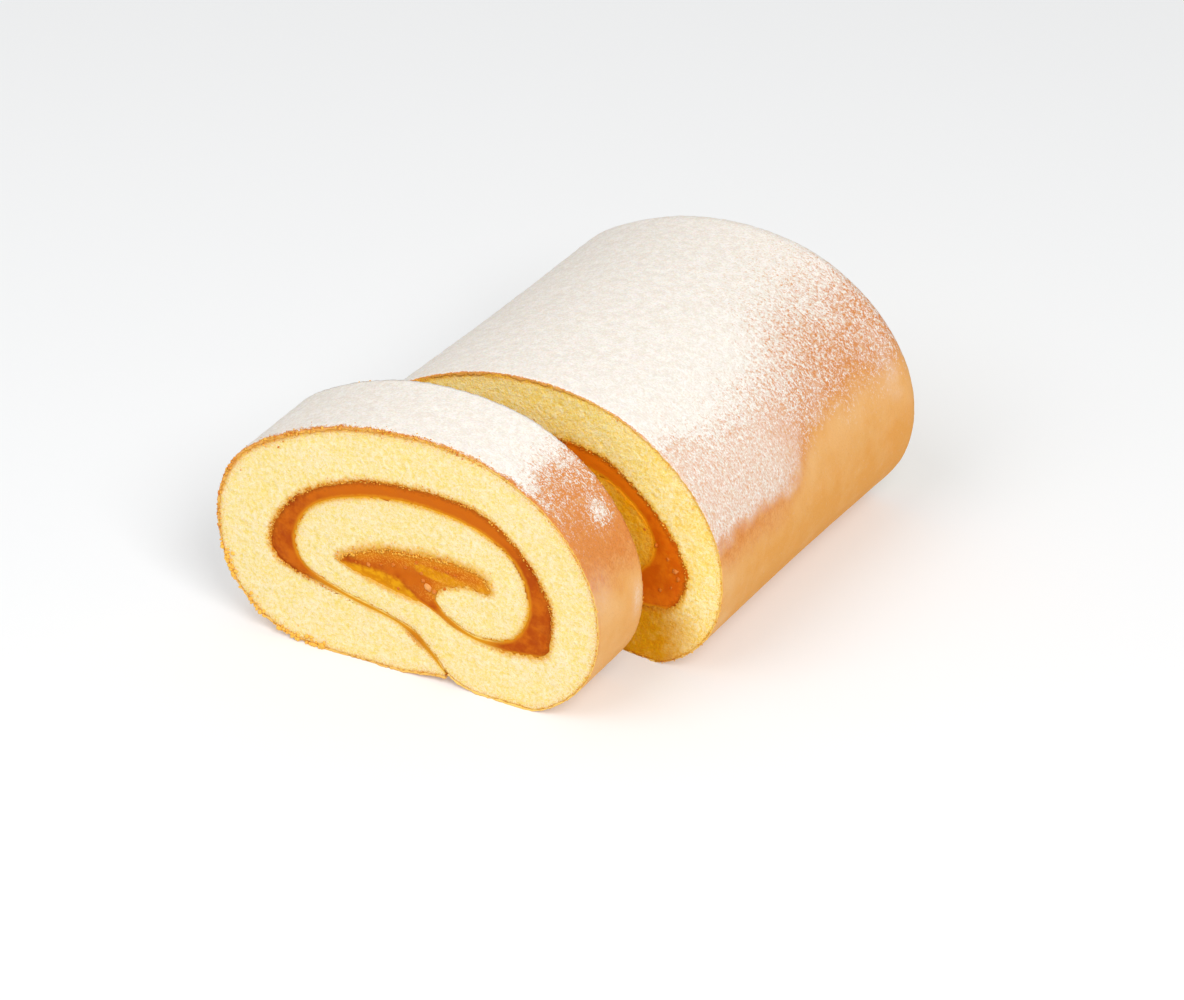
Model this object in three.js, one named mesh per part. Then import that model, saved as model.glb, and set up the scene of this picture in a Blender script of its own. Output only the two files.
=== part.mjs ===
// Swiss roll cake: a sponge sheet rolled up over orange jam, with the first slice cut off and standing in
// front of the roll that is left.
//
// Millimetres, +Z up. The roll's axis runs along +Y and the slice stands on its -Y side. The cake rests on
// z = 0, and the origin is under the middle of its box.
//
// The swirl of a cut face is one closed strip. Each rib in sheetRibs crosses the sheet from its browned
// outer side to its jam side, from the tip in the middle of the roll to the flap under it. Smooth curves
// through the ends of the ribs are the two sides of the sheet, and the jam is what its turns leave between
// them.

import * as THREE from 'three';

// Driving dimensions

const rollLength = 84.7; // from the cut to the far end
const rollWaist = 0.015; // share by which the roll narrows halfway along
const farRounding = { depth: 4, inset: 0.03 }; // length and share over which the far end draws in
const ringsAlongRoll = 6; // lengths that the roll is built in, before the far rounding
const slicePlace = {
  front: { x: -12.4, y: -33.2, turn: 6.2 }, // foot of the face's middle line, degrees about +Z
  back: { x: -13.2, y: -12.1, turn: 2.3 }, // the knife came down a little askew, so the slice is a wedge
};
const ringsAlongSlice = 2;
const stepsPerRib = 3; // straight lengths that a curve has from one rib to the next
const clearance = 0.3; // gap between the sponge and the jam
const jamSeamRib = 33; // the rib of the flap, and the rib of the turn above it, between which the jam ends
const jamTurnRib = 15;

// One rib a row: x and z of its end on the outer side, then on the jam side.
const sheetRibs = [
  [7.4, 21.3, 7.3, 23.2],
  [10.1, 18.3, 9.3, 25.6],
  [17.5, 15.2, 14.5, 27.6],
  [26.2, 17.6, 19.0, 27.2],
  [30.0, 27.0, 20.2, 28.2],
  [26.2, 37.5, 17.6, 31.4],
  [16.0, 43.2, 11.0, 32.0],
  [2.0, 44.8, 2.6, 31.4],
  [-12.0, 42.4, -6.4, 30.0],
  [-22.6, 37.0, -12.2, 27.6],
  [-27.4, 28.6, -16.2, 25.0],
  [-25.4, 21.3, -13.8, 23.6],
  [-16.5, 17.2, -8.6, 22.2],
  [-6.5, 14.8, -1.0, 20.6],
  [1.4, 12.2, 5.2, 19.3],
  [6.6, 7.4, 11.7, 15.5],
  [12.4, 1.2, 19.0, 13.7],
  [28.0, -0.5, 28.0, 14.2],
  [38.0, 4.9, 33.4, 15.6],
  [44.6, 14.5, 34.8, 20.6],
  [46.4, 27.0, 34.8, 27.6],
  [43.2, 39.5, 31.0, 35.4],
  [34.6, 51.0, 24.6, 42.8],
  [21.0, 59.0, 16.4, 47.4],
  [5.0, 61.6, 4.6, 48.4],
  [-12.5, 59.6, -10.0, 46.6],
  [-29.0, 53.2, -22.2, 41.2],
  [-41.0, 44.4, -29.6, 34.2],
  [-46.5, 31.0, -33.0, 27.0],
  [-44.4, 14.6, -31.6, 21.0],
  [-35.0, 3.4, -23.6, 17.8],
  [-19.0, -0.8, -12.6, 14.8],
  [-4.0, -0.2, -2.4, 12.4],
  [5.0, 1.2, 4.0, 7.9],
  [9.2, 1.7, 8.9, 2.8],
];

// The roll's cut lies deeper in the cake, where the middle sits higher over a larger pocket of jam.
const rollRibs = sheetRibs.slice();
rollRibs[1] = [9.5, 20.4, 9.3, 26.6];
rollRibs[2] = [17.0, 18.8, 14.5, 28.0];
rollRibs[3] = [24.8, 21.6, 19.2, 27.6];
rollRibs[4] = [29.4, 29.0, 20.4, 28.8];
rollRibs[5] = [25.6, 37.2, 17.6, 31.8];
rollRibs[19] = [44.8, 14.5, 36.4, 19.4];
rollRibs[20] = [46.8, 27.0, 37.2, 26.8];
rollRibs[21] = [43.6, 39.5, 32.0, 35.6];

// The two sides of a sheet, as points of smooth curves. Its own weight presses the outer side flat at z = 0.
function sheetSides(ribs) {
  const divisions = (ribs.length - 1) * stepsPerRib;
  const side = (column) => {
    const ends = ribs.map((rib) => new THREE.Vector2(rib[column], rib[column + 1]));
    return new THREE.SplineCurve(ends).getPoints(divisions);
  };
  const outer = side(0);
  outer.forEach((point) => {
    point.y = Math.max(point.y, 0);
  });
  return { outer, inner: side(2) };
}

// An outline runs counterclockwise as the cut face is seen from the front. The sponge's face is a strip of
// pairs of triangles, one pair for each step along the sheet.
function spongeSection(ribs) {
  const { outer, inner } = sheetSides(ribs);
  const last = 2 * outer.length - 1;
  const face = [];
  for (let step = 0; step < outer.length - 1; step += 1) {
    face.push([step, step + 1, last - step - 1], [step, last - step - 1, last - step]);
  }
  return { outline: [...outer, ...inner.reverse()], face };
}

// The jam follows the inner turn's outer side back to the tip of the sheet, and the jam side out to the seam.
function jamSection(ribs) {
  const { outer, inner } = sheetSides(ribs);
  const back = outer.slice(0, jamTurnRib * stepsPerRib + 1).reverse();
  const out = inner.slice(0, jamSeamRib * stepsPerRib + 1);
  const outline = inset([...back, ...out], clearance);
  return { outline, face: THREE.ShapeUtils.triangulateShape(outline, []) };
}

// Moves every point of a closed outline towards its inside, square to the line through its neighbours.
function inset(outline, distance) {
  const count = outline.length;
  return outline.map((point, index) => {
    const along = outline[(index + 1) % count].clone().sub(outline[(index + count - 1) % count]).normalize();
    return new THREE.Vector2(point.x - distance * along.y, point.y + distance * along.x);
  });
}

// Carries a section through the places that the rings give, from the front to the back, and closes both ends.
function loft({ outline, face }, rings) {
  const count = outline.length;
  const positions = rings.flatMap((place) => outline.flatMap((point) => place(point.x, point.y).toArray()));
  const faces = [];
  for (let ring = 0; ring < rings.length - 1; ring += 1) {
    const here = ring * count;
    const there = here + count;
    for (let index = 0; index < count; index += 1) {
      const next = (index + 1) % count;
      faces.push(here + index, there + next, here + next);
      faces.push(here + index, there + index, there + next);
    }
  }
  const last = (rings.length - 1) * count;
  face.forEach(([a, b, c]) => {
    faces.push(a, b, c);
    faces.push(last + a, last + c, last + b);
  });
  const geometry = new THREE.BufferGeometry();
  geometry.setAttribute('position', new THREE.Float32BufferAttribute(positions, 3));
  geometry.setIndex(faces);
  geometry.computeVertexNormals();
  return geometry;
}

// The slice stands upright, and its faces turn evenly from the front one to the back one.
function sliceRings() {
  const { front, back } = slicePlace;
  return Array.from({ length: ringsAlongSlice + 1 }, (_, ring) => {
    const share = ring / ringsAlongSlice;
    const turn = THREE.MathUtils.degToRad(THREE.MathUtils.lerp(front.turn, back.turn, share));
    const foot = new THREE.Vector3(front.x, front.y, 0).lerp(new THREE.Vector3(back.x, back.y, 0), share);
    return (x, z) => new THREE.Vector3(x * Math.cos(turn), x * Math.sin(turn), z).add(foot);
  });
}

// The roll narrows a little halfway along, and its far end draws in along a quarter round.
function rollRings() {
  const straight = rollLength - farRounding.depth;
  const stations = Array.from({ length: ringsAlongRoll + 1 }, (_, ring) => (ring / ringsAlongRoll) * straight);
  stations.push(straight + farRounding.depth * 0.7, rollLength);
  return stations.map((y) => {
    const past = Math.max(y - straight, 0) / farRounding.depth;
    const drawn = 1 - farRounding.inset * (1 - Math.sqrt(1 - past * past));
    const width = drawn * (1 - rollWaist * Math.sin((Math.PI * y) / rollLength));
    return (x, z) => new THREE.Vector3(x * width, y, z * drawn);
  });
}

const spongeMaterial = new THREE.MeshStandardMaterial({ color: 0xf6dc8e, roughness: 0.9, metalness: 0 });
const jamMaterial = new THREE.MeshStandardMaterial({ color: 0xc0610f, roughness: 0.25, metalness: 0 });

function named(name, geometry, material) {
  const mesh = new THREE.Mesh(geometry, material);
  mesh.name = name;
  return mesh;
}

const cake = new THREE.Group();
cake.add(named('slice_sponge', loft(spongeSection(sheetRibs), sliceRings()), spongeMaterial));
cake.add(named('slice_jam', loft(jamSection(sheetRibs), sliceRings()), jamMaterial));
cake.add(named('roll_sponge', loft(spongeSection(rollRibs), rollRings()), spongeMaterial));
cake.add(named('roll_jam', loft(jamSection(rollRibs), rollRings()), jamMaterial));

const middle = new THREE.Box3().setFromObject(cake).getCenter(new THREE.Vector3());
cake.position.set(-middle.x, -middle.y, 0);

export default cake;
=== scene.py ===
import itertools
import math
import bpy
import numpy as np
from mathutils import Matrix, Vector


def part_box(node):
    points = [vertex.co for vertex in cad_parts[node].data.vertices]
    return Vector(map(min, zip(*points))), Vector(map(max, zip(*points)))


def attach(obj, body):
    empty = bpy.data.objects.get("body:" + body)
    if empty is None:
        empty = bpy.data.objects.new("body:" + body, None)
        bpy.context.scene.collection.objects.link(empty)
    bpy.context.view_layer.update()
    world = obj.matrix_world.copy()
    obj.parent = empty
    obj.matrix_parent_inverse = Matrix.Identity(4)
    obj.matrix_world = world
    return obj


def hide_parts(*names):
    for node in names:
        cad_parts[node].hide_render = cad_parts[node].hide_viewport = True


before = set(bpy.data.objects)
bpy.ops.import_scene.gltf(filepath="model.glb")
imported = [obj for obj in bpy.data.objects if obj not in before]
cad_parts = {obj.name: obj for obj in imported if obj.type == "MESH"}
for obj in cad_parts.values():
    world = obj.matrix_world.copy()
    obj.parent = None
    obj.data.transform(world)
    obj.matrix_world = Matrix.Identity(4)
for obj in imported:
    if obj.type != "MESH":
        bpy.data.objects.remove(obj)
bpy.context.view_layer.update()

mm = 0.001

# The sheet that the cake is rolled from, one rib a row, in millimetres:
# x and z on the browned outer side, then on the jam side.
sheetRibs = [
    (7.4, 21.3, 7.3, 23.2), (10.1, 18.3, 9.3, 25.6), (17.5, 15.2, 14.5, 27.6), (26.2, 17.6, 19.0, 27.2),
    (30.0, 27.0, 20.2, 28.2), (26.2, 37.5, 17.6, 31.4), (16.0, 43.2, 11.0, 32.0), (2.0, 44.8, 2.6, 31.4),
    (-12.0, 42.4, -6.4, 30.0), (-22.6, 37.0, -12.2, 27.6), (-27.4, 28.6, -16.2, 25.0),
    (-25.4, 21.3, -13.8, 23.6), (-16.5, 17.2, -8.6, 22.2), (-6.5, 14.8, -1.0, 20.6), (1.4, 12.2, 5.2, 19.3),
    (6.6, 7.4, 11.7, 15.5), (12.4, 1.2, 19.0, 13.7), (28.0, -0.5, 28.0, 14.2), (38.0, 4.9, 33.4, 15.6),
    (44.6, 14.5, 34.8, 20.6), (46.4, 27.0, 34.8, 27.6), (43.2, 39.5, 31.0, 35.4), (34.6, 51.0, 24.6, 42.8),
    (21.0, 59.0, 16.4, 47.4), (5.0, 61.6, 4.6, 48.4), (-12.5, 59.6, -10.0, 46.6), (-29.0, 53.2, -22.2, 41.2),
    (-41.0, 44.4, -29.6, 34.2), (-46.5, 31.0, -33.0, 27.0), (-44.4, 14.6, -31.6, 21.0),
    (-35.0, 3.4, -23.6, 17.8), (-19.0, -0.8, -12.6, 14.8), (-4.0, -0.2, -2.4, 12.4), (5.0, 1.2, 4.0, 7.9),
    (9.2, 1.7, 8.9, 2.8),
]
# The roll is cut deeper in the cake, where the middle sits higher over a larger pocket of jam.
rollChanges = {
    1: (9.5, 20.4, 9.3, 26.6), 2: (17.0, 18.8, 14.5, 28.0), 3: (24.8, 21.6, 19.2, 27.6),
    4: (29.4, 29.0, 20.4, 28.8), 5: (25.6, 37.2, 17.6, 31.8), 19: (44.8, 14.5, 36.4, 19.4),
    20: (46.8, 27.0, 37.2, 26.8), 21: (43.6, 39.5, 32.0, 35.6),
}
seamRib = 16  # from here on the outer side is the cake's own skin
skinStart = seamRib - 0.35
innerEnd = seamRib - 0.45  # up to here the outer side lies inside the cake
bareStart = seamRib - 0.5
sliceDepth = 21.1 * mm  # through its middle
# The slice's faces: x and y of the foot of the middle line from the roll's in mm, and the turn in degrees.
slicePlace = {"front": (-12.4, -33.2, 6.2), "back": (-13.2, -12.1, 2.3)}
rollShape = {"waist": 0.015, "rounding": 4 * mm, "inset": 0.03}  # waist and inset are shares of the width
filmToLayer = (1.1, 2.4)  # jam thinner than the first, in mm, is a film, and thicker than the second a layer

rollLow, rollHigh = (np.array(corner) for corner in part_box("roll_sponge"))
rollLength = rollHigh[1] - rollLow[1]


def hashed(cells, seed):
    # a number from 0 to 1 for each whole-number cell, from multiplied and folded bits
    x, y, z = (cells[..., axis].astype(np.int64).astype(np.uint64) for axis in range(3))
    bits = x * np.uint64(73856093) ^ y * np.uint64(19349663) ^ z * np.uint64(83492791)
    bits = (bits ^ np.full_like(bits, 1 + seed * 2654435761)) * np.uint64(0xBF58476D1CE4E5B9)
    bits ^= bits >> np.uint64(31)
    bits *= np.uint64(0x94D049BB133111EB)
    return (bits >> np.uint64(40)).astype(float) / 2.0 ** 24


def noise(points, size, seed):
    # smooth random field from -1 to 1: values at the corners of cubes of this size, eased between
    grid = points / size
    cell = np.floor(grid)
    ease = grid - cell
    ease = ease * ease * (3 - 2 * ease)
    total = 0
    for corner in range(8):
        step = np.array([corner & 1, corner >> 1 & 1, corner >> 2 & 1])
        weight = np.prod(np.where(step, ease, 1 - ease), axis=-1)
        total = total + weight * hashed(cell + step, seed)
    return 2 * total - 1


def fractal(points, size, seed, octaves=3):
    # the same field summed at halved sizes and halved heights, over the sum of the heights
    total = sum(noise(points, size / 2 ** n, seed + n) / 2 ** n for n in range(octaves))
    return total / (2 - 0.5 ** (octaves - 1))


def swell(points, field, seed):
    # noise of the height and patch size that the field gives, both in millimetres
    height, size = field
    return height * noise(points, size * mm, seed)


def pits(points, size, seed, share, radius=0.5):
    # 1 at the bottom of round holes, falling to 0 at their rims with the square of the distance; this share
    # of the cubes holds one each, up to this radius in cubes
    grid = points / size
    cell = np.floor(grid)
    deepest = np.zeros(points.shape[:-1])
    for offset in np.stack(np.meshgrid(*[(-1, 0, 1)] * 3), -1).reshape(-1, 3):
        near = cell + offset
        middle = near + np.stack([hashed(near, seed + axis) for axis in (1, 2, 3)], -1)
        reach = radius * (0.35 + 0.65 * hashed(near, seed + 4))
        far = ((grid - middle) ** 2).sum(-1) / reach ** 2
        hole = np.where(hashed(near, seed + 5) < share, 1 - far, 0)
        deepest = np.maximum(deepest, hole)
    return deepest


def smooth(low, high, value):
    # 0 below low, 1 above high, and eased between: three squares less two cubes of the share of the way
    share = np.clip((value - low) / (high - low), 0, 1)
    return share * share * (3 - 2 * share)


def ribCurve(ends, steps=24):
    # Catmull-Rom curve through the ends of the ribs: on each stretch a cubic whose slope at either end is half
    # the way between that end's neighbours
    count = len(ends) - 1
    place = np.linspace(0, count, count * steps + 1)
    index = np.minimum(place.astype(int), count - 1)
    share = (place - index)[:, None]
    here, there = ends[index], ends[index + 1]
    slopeHere = (there - ends[np.maximum(index - 1, 0)]) / 2
    slopeThere = (ends[np.minimum(index + 2, count)] - here) / 2
    cubic = (2 * here - 2 * there + slopeHere + slopeThere) * share ** 3
    square = (3 * there - 3 * here - 2 * slopeHere - slopeThere) * share ** 2
    return place, cubic + square + slopeHere * share + here


def lengthAlong(curve):
    # length of the curve up to each of its points
    return np.concatenate([[0], np.cumsum(np.linalg.norm(np.diff(curve, axis=0), axis=1))])


def sheet(ribs, pitch, start=0.0):
    # both sides of the sheet from the rib "start" on, a point for each pitch along their mean length; arc is
    # the length of the outer side from the seam
    place, both = ribCurve(np.array(ribs) * mm)
    both[:, 1] = np.maximum(both[:, 1], 0)
    keep = place >= start
    place, both = place[keep], both[keep]
    along = (lengthAlong(both[:, :2]) + lengthAlong(both[:, 2:])) / 2
    even = np.linspace(0, along[-1], int(along[-1] / pitch))
    rib = np.interp(even, along, place)
    sides = np.stack([np.interp(even, along, both[:, column]) for column in range(4)], -1)
    seam = np.interp(seamRib, place, lengthAlong(both[:, :2]))
    arc = np.interp(even, along, lengthAlong(both[:, :2])) - seam
    return {"rib": rib, "outer": sides[:, :2], "inner": sides[:, 2:], "arc": arc}


rollRibs = [rollChanges.get(index, rib) for index, rib in enumerate(sheetRibs)]
outerMost = max(rib[0] for rib in rollRibs) * mm
cutFoot = np.array([rollHigh[0] - outerMost, rollLow[1], 0])  # foot of the middle line of the roll's cut


def inRoll(x, z, deep):
    # deep is 0 at the cut and 1 at the far end: the waist is half a sine wave, and the far end draws in by a
    # quarter of an ellipse
    y = deep * rollLength
    past = np.clip((y - rollLength + rollShape["rounding"]) / rollShape["rounding"], 0, 1)
    drawn = 1 - rollShape["inset"] * (1 - np.sqrt(1 - past ** 2))
    width = drawn * (1 - rollShape["waist"] * np.sin(math.pi * np.clip(deep, 0, 1)))
    return cutFoot + np.stack(np.broadcast_arrays(x * width, y, z * drawn), -1)


def inSlice(x, z, deep):
    # deep is 0 at the front face and 1 at the back face, and the faces turn evenly between them
    front, back = (np.array(slicePlace[side]) for side in ("front", "back"))
    footX, footY, turn = ((front[n] + (back[n] - front[n]) * deep) for n in range(3))
    turn = np.radians(turn)
    return cutFoot + np.stack(np.broadcast_arrays(
        footX * mm + x * np.cos(turn), footY * mm + x * np.sin(turn), z), -1)


def newPiece(name, points, faces, attributes, material):
    # a mesh that rides on the one body, with a number at each point for each attribute
    mesh = bpy.data.meshes.new(name)
    mesh.from_pydata(points.reshape(-1, 3), [], faces)
    for key, values in attributes.items():
        values = np.broadcast_to(values, points.shape[:-1]).astype(np.float32).ravel()
        mesh.attributes.new(key, "FLOAT", "POINT").data.foreach_set("value", values)
    mesh.polygons.foreach_set("use_smooth", np.ones(len(faces), bool))
    mesh.materials.append(material)
    mesh.update()
    piece = bpy.data.objects.new(name, mesh)
    bpy.context.scene.collection.objects.link(piece)
    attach(piece, "root")
    print(name, "made, triangles:", sum(len(face) - 2 for face in faces))
    return piece


def ringFaces(columns, ring):
    # quads between neighbouring columns of a ring of points, and one face over each end
    index = np.arange(columns * ring).reshape(columns, ring)
    after = np.roll(index, -1, axis=1)
    quads = np.stack([index[:-1], after[:-1], after[1:], index[1:]], -1).reshape(-1, 4)
    return quads.tolist() + [index[0, ::-1].tolist(), index[-1].tolist()]


class Number:
    # a value that changes over a surface: arithmetic on it adds Math nodes
    def __init__(self, surface, socket):
        self.surface, self.socket = surface, socket

    def work(self, operation, *values, clamp=False):
        made = self.surface.node("ShaderNodeMath", {"operation": operation, "use_clamp": clamp},
                                 dict(enumerate(values)))
        return Number(self.surface, made.outputs[0])

    def __add__(self, other):
        return self.work("ADD", self, other)

    def __sub__(self, other):
        return self.work("SUBTRACT", self, other)

    def __rsub__(self, other):
        return self.work("SUBTRACT", other, self)

    def __mul__(self, other):
        return self.work("MULTIPLY", self, other)

    def __truediv__(self, other):
        return self.work("DIVIDE", self, other)

    __radd__ = __add__

    def clipped(self):
        return self.work("ADD", self, 0.0, clamp=True)

    def over(self, other):
        return self.work("MAXIMUM", self, other)

    def least(self, other):
        return self.work("MINIMUM", self, other)

    def step(self, low, high):
        # 0 below low, 1 above high, eased between
        made = self.surface.node("ShaderNodeMapRange", {"interpolation_type": "SMOOTHSTEP"},
                                 {"Value": self, "From Min": low, "From Max": high})
        return Number(self.surface, made.outputs[0])


class Surface:
    # one material with a Principled shader, whose nodes are all made by node()
    def __init__(self, name, fixed):
        self.material = bpy.data.materials.new(name)
        self.material.use_nodes = True
        self.tree = self.material.node_tree
        self.tree.nodes.clear()
        self.shader = self.node("ShaderNodeBsdfPrincipled", {}, fixed)
        self.node("ShaderNodeOutputMaterial", {}, {"Surface": self.shader.outputs[0]})
        self.place = self.node("ShaderNodeTexCoord").outputs["Object"]

    def node(self, kind, settings={}, values={}):
        made = self.tree.nodes.new(kind)
        for key, value in settings.items():
            setattr(made, key, value)
        for key, value in values.items():
            if isinstance(value, Number):
                value = value.socket
            if isinstance(value, bpy.types.NodeSocket):
                self.tree.links.new(value, made.inputs[key])
            else:
                made.inputs[key].default_value = value
        return made

    def attribute(self, name):
        return Number(self, self.node("ShaderNodeAttribute", {"attribute_name": name}).outputs["Fac"])

    def noise(self, size, detail=2.0, rough=0.5, place=None):
        # size is the width of the field's patches
        made = self.node("ShaderNodeTexNoise", {}, {
            "Vector": place or self.place, "Scale": 1 / size, "Detail": detail, "Roughness": rough})
        return Number(self, made.outputs["Fac"])

    def mix(self, share, first, second, blend="MIX"):
        made = self.node("ShaderNodeMix", {"data_type": "RGBA", "blend_type": blend},
                         {0: share, 6: first, 7: second})
        return made.outputs[2]

    def bump(self, height, distance, strength):
        made = self.node("ShaderNodeBump", {}, {"Height": height, "Distance": distance, "Strength": strength})
        return made.outputs[0]

    def finish(self, **varying):
        # Base_Color stands for the socket Base Color
        for key, value in varying.items():
            socket = value.socket if isinstance(value, Number) else value
            self.tree.links.new(socket, self.shader.inputs[key.replace("_", " ")])
        return self.material


def rgb(red, green, blue):
    # a colour as it shows on a screen, from 0 to 255, turned to linear light
    shown = np.array([red, green, blue]) / 255
    linear = np.where(shown <= 0.04045, shown / 12.92, ((shown + 0.055) / 1.055) ** 2.4)
    return (*linear.tolist(), 1.0)


crumbGrain = {"fine": 0.4 * mm, "mid": 0.9 * mm, "cloud": 2.2 * mm, "broad": 9 * mm, "bump": 0.4 * mm}


def crumbMaterial(name, tint):
    # pale crumb in yellow clouds, with a browned rim, and jam drawn into the sides that it touches: each tint
    # is mixed in where a noise, or a distance made ragged by noise, passes a step
    s = Surface(name, {"Roughness": 0.85, "Subsurface Weight": 0.18, "Subsurface Scale": 1.0 * mm,
                       "Subsurface Radius": (1.0, 0.6, 0.2), "Specular IOR Level": 0.1})
    toJam, toSkin, wide = s.attribute("toJam"), s.attribute("toSkin"), s.attribute("wide")
    browned, soaked, paintedShade = s.attribute("browned"), s.attribute("soaked"), s.attribute("paintedShade")
    wideUnder = s.attribute("wideUnder")
    fine, mid = s.noise(crumbGrain["fine"], 3, 0.6), s.noise(crumbGrain["mid"], 4, 0.65)
    cloud, broad = s.noise(crumbGrain["cloud"], 4, 0.65), s.noise(crumbGrain["broad"], 2)
    colour = s.mix(broad.step(0.35, 0.65), tint["pale"], tint["crumb"])
    colour = s.mix(mid.step(0.49, 0.64) * 0.65, colour, tint["light"])
    colour = s.mix((cloud + (fine - 0.5) * 0.8).step(0.5, 0.64) * 0.55, colour, tint["cloud"])
    # pores: random yellow patches in the crumb's own colour, and painted shade in the holes cut into the face
    pore = (1 - mid.step(0.38, 0.48)) * 0.5 + s.attribute("pit") * 0.4 + fine.step(0.55, 0.63) * 0.5
    colour = s.mix(pore.clipped(), colour, tint["pore"])
    ragged = (mid - 0.5) * 2.2 + (fine - 0.5) * 3.0
    # golden flecks thicken towards the rim, which ends in a browned line
    flecks = (1 - (toSkin + ragged).step(0.2, 3.4)) * (mid * 0.5 + fine * 0.5 - 0.5).step(-0.02, 0.05)
    colour = s.mix(flecks * (0.5 + browned * 0.4), colour, tint["golden"])
    rim = 1 - ((toSkin + ragged * 0.8) / (browned + 0.45)).step(0.35, 1.0)
    colour = s.mix(rim * 0.9, colour, s.mix(fine.step(0.4, 0.6), tint["rim"], tint["golden"]))
    # jam stains the crumb yellow, and dark crumbs line the wide band on the sheet's jam side
    stain = 1 - ((toJam + ragged * 0.9) / (wide * 1.2 + 0.4)).step(0.1, 1.3)
    colour = s.mix(stain * (wide.clipped() * 0.45 + 0.4), colour, tint["golden"])
    colour = s.mix((1 - (toJam + ragged * 1.1).step(0.0, 0.8)) * s.attribute("fringe"), colour, tint["wet"])
    under = 1 - ((toSkin + ragged * 0.6) / (wideUnder * 0.7 + 0.35)).step(0.1, 1.1)
    colour = s.mix(under * soaked * (wideUnder * 0.45 + 0.35), colour, tint["golden"])
    # painted shade: where the roll's cut lies in the slice's shadow, at its foot and on its inner turn, the
    # crumb is multiplied by a deep golden tint, with darker blotches on the turn
    golden = s.mix(soaked, tint["paintedShade"], tint["turn"])
    colour = s.mix((paintedShade + (cloud - 0.5) * paintedShade * 0.6).clipped(), colour, golden, "MULTIPLY")
    colour = s.mix(paintedShade * soaked * (1 - (mid + cloud * 0.5).step(0.55, 0.72)) * 0.35, colour, tint["wet"])
    return s.finish(Base_Color=colour, Normal=s.bump(fine * 0.5 + mid, crumbGrain["bump"], 0.85))


skinGrain = {"fine": 0.3 * mm, "strokes": 0.42 * mm, "flakes": 1.0 * mm, "mid": 1.6 * mm, "broad": 7 * mm,
             "bump": 0.16 * mm}


def skinMaterial(name, tint):
    # thin browned skin under powdered sugar: the sugar covers it where its thickness and the noise of its
    # grains together pass a step, and below that the veil does the same more softly
    s = Surface(name, {"Roughness": 0.85, "Subsurface Weight": 0.12, "Subsurface Scale": 1.0 * mm,
                       "Subsurface Radius": (1.0, 0.5, 0.25), "Specular IOR Level": 0.04})
    dust, veil, tone = s.attribute("dust"), s.attribute("veil"), s.attribute("tone")
    # grains drawn out round the roll
    combed = s.node("ShaderNodeCombineXYZ", {}, {0: s.attribute("girth") * 0.65, 1: s.attribute("along")})
    strokes = s.noise(skinGrain["strokes"], 3, 0.6, combed.outputs[0])
    fine = s.noise(skinGrain["fine"], 3, 0.6)
    flakes = s.noise(skinGrain["flakes"], 3, 0.6, combed.outputs[0])
    mid, broad = s.noise(skinGrain["mid"], 3, 0.6), s.noise(skinGrain["broad"], 3)
    # the deep attribute is painted shade: the tan darker and more golden low on the side, over broad random
    # tone
    deep = ((broad - 0.5) * 1.6 + 0.2 + s.attribute("deep") * 0.8).clipped()
    skin = s.mix(deep, tint["tan"], tint["tanDeep"])
    skin = s.mix(fine.step(0.5, 0.7) * 0.25, skin, tint["fleck"])
    brown = (tone + (mid - 0.5) * tone * 2.0).clipped()
    skin = s.mix(brown, skin, tint["brown"])
    skin = s.mix(brown * strokes.step(0.47, 0.6) * 0.7, skin, tint["fleck"])
    skin = s.mix(s.attribute("cut"), skin, s.mix(s.attribute("browned"), tint["cutPale"], tint["cut"]))
    grains = (strokes - 0.5) * 2.0 + (fine - 0.5) * 1.8 + (flakes - 0.5) * 1.7
    cover = (dust * 1.3 - 0.15 + grains * (1.45 - dust)).step(0.1, 0.9)
    cover = cover * (dust.step(0.02, 0.4) * 0.9 + 0.1)
    haze = veil * (0.76 + (strokes - 0.5) * 2.0 + (fine - 0.5) * 0.8 + (flakes - 0.5) * 1.4)
    cover = cover.over(haze.clipped())
    shade = (mid * 0.5 + strokes * 0.7 + fine * 0.4 - 0.8).step(-0.14, 0.16)
    colour = s.mix(cover, skin, s.mix(shade, tint["sugarShade"], tint["sugar"]))
    height = cover * 0.5 + strokes * 0.4 + fine * 0.5
    return s.finish(Base_Color=colour, Normal=s.bump(height, skinGrain["bump"], 0.7))


jamGrain = {"speck": 0.3 * mm, "fine": 0.5 * mm, "mid": 1.4 * mm, "broad": 5 * mm, "bump": 0.15 * mm}


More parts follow.
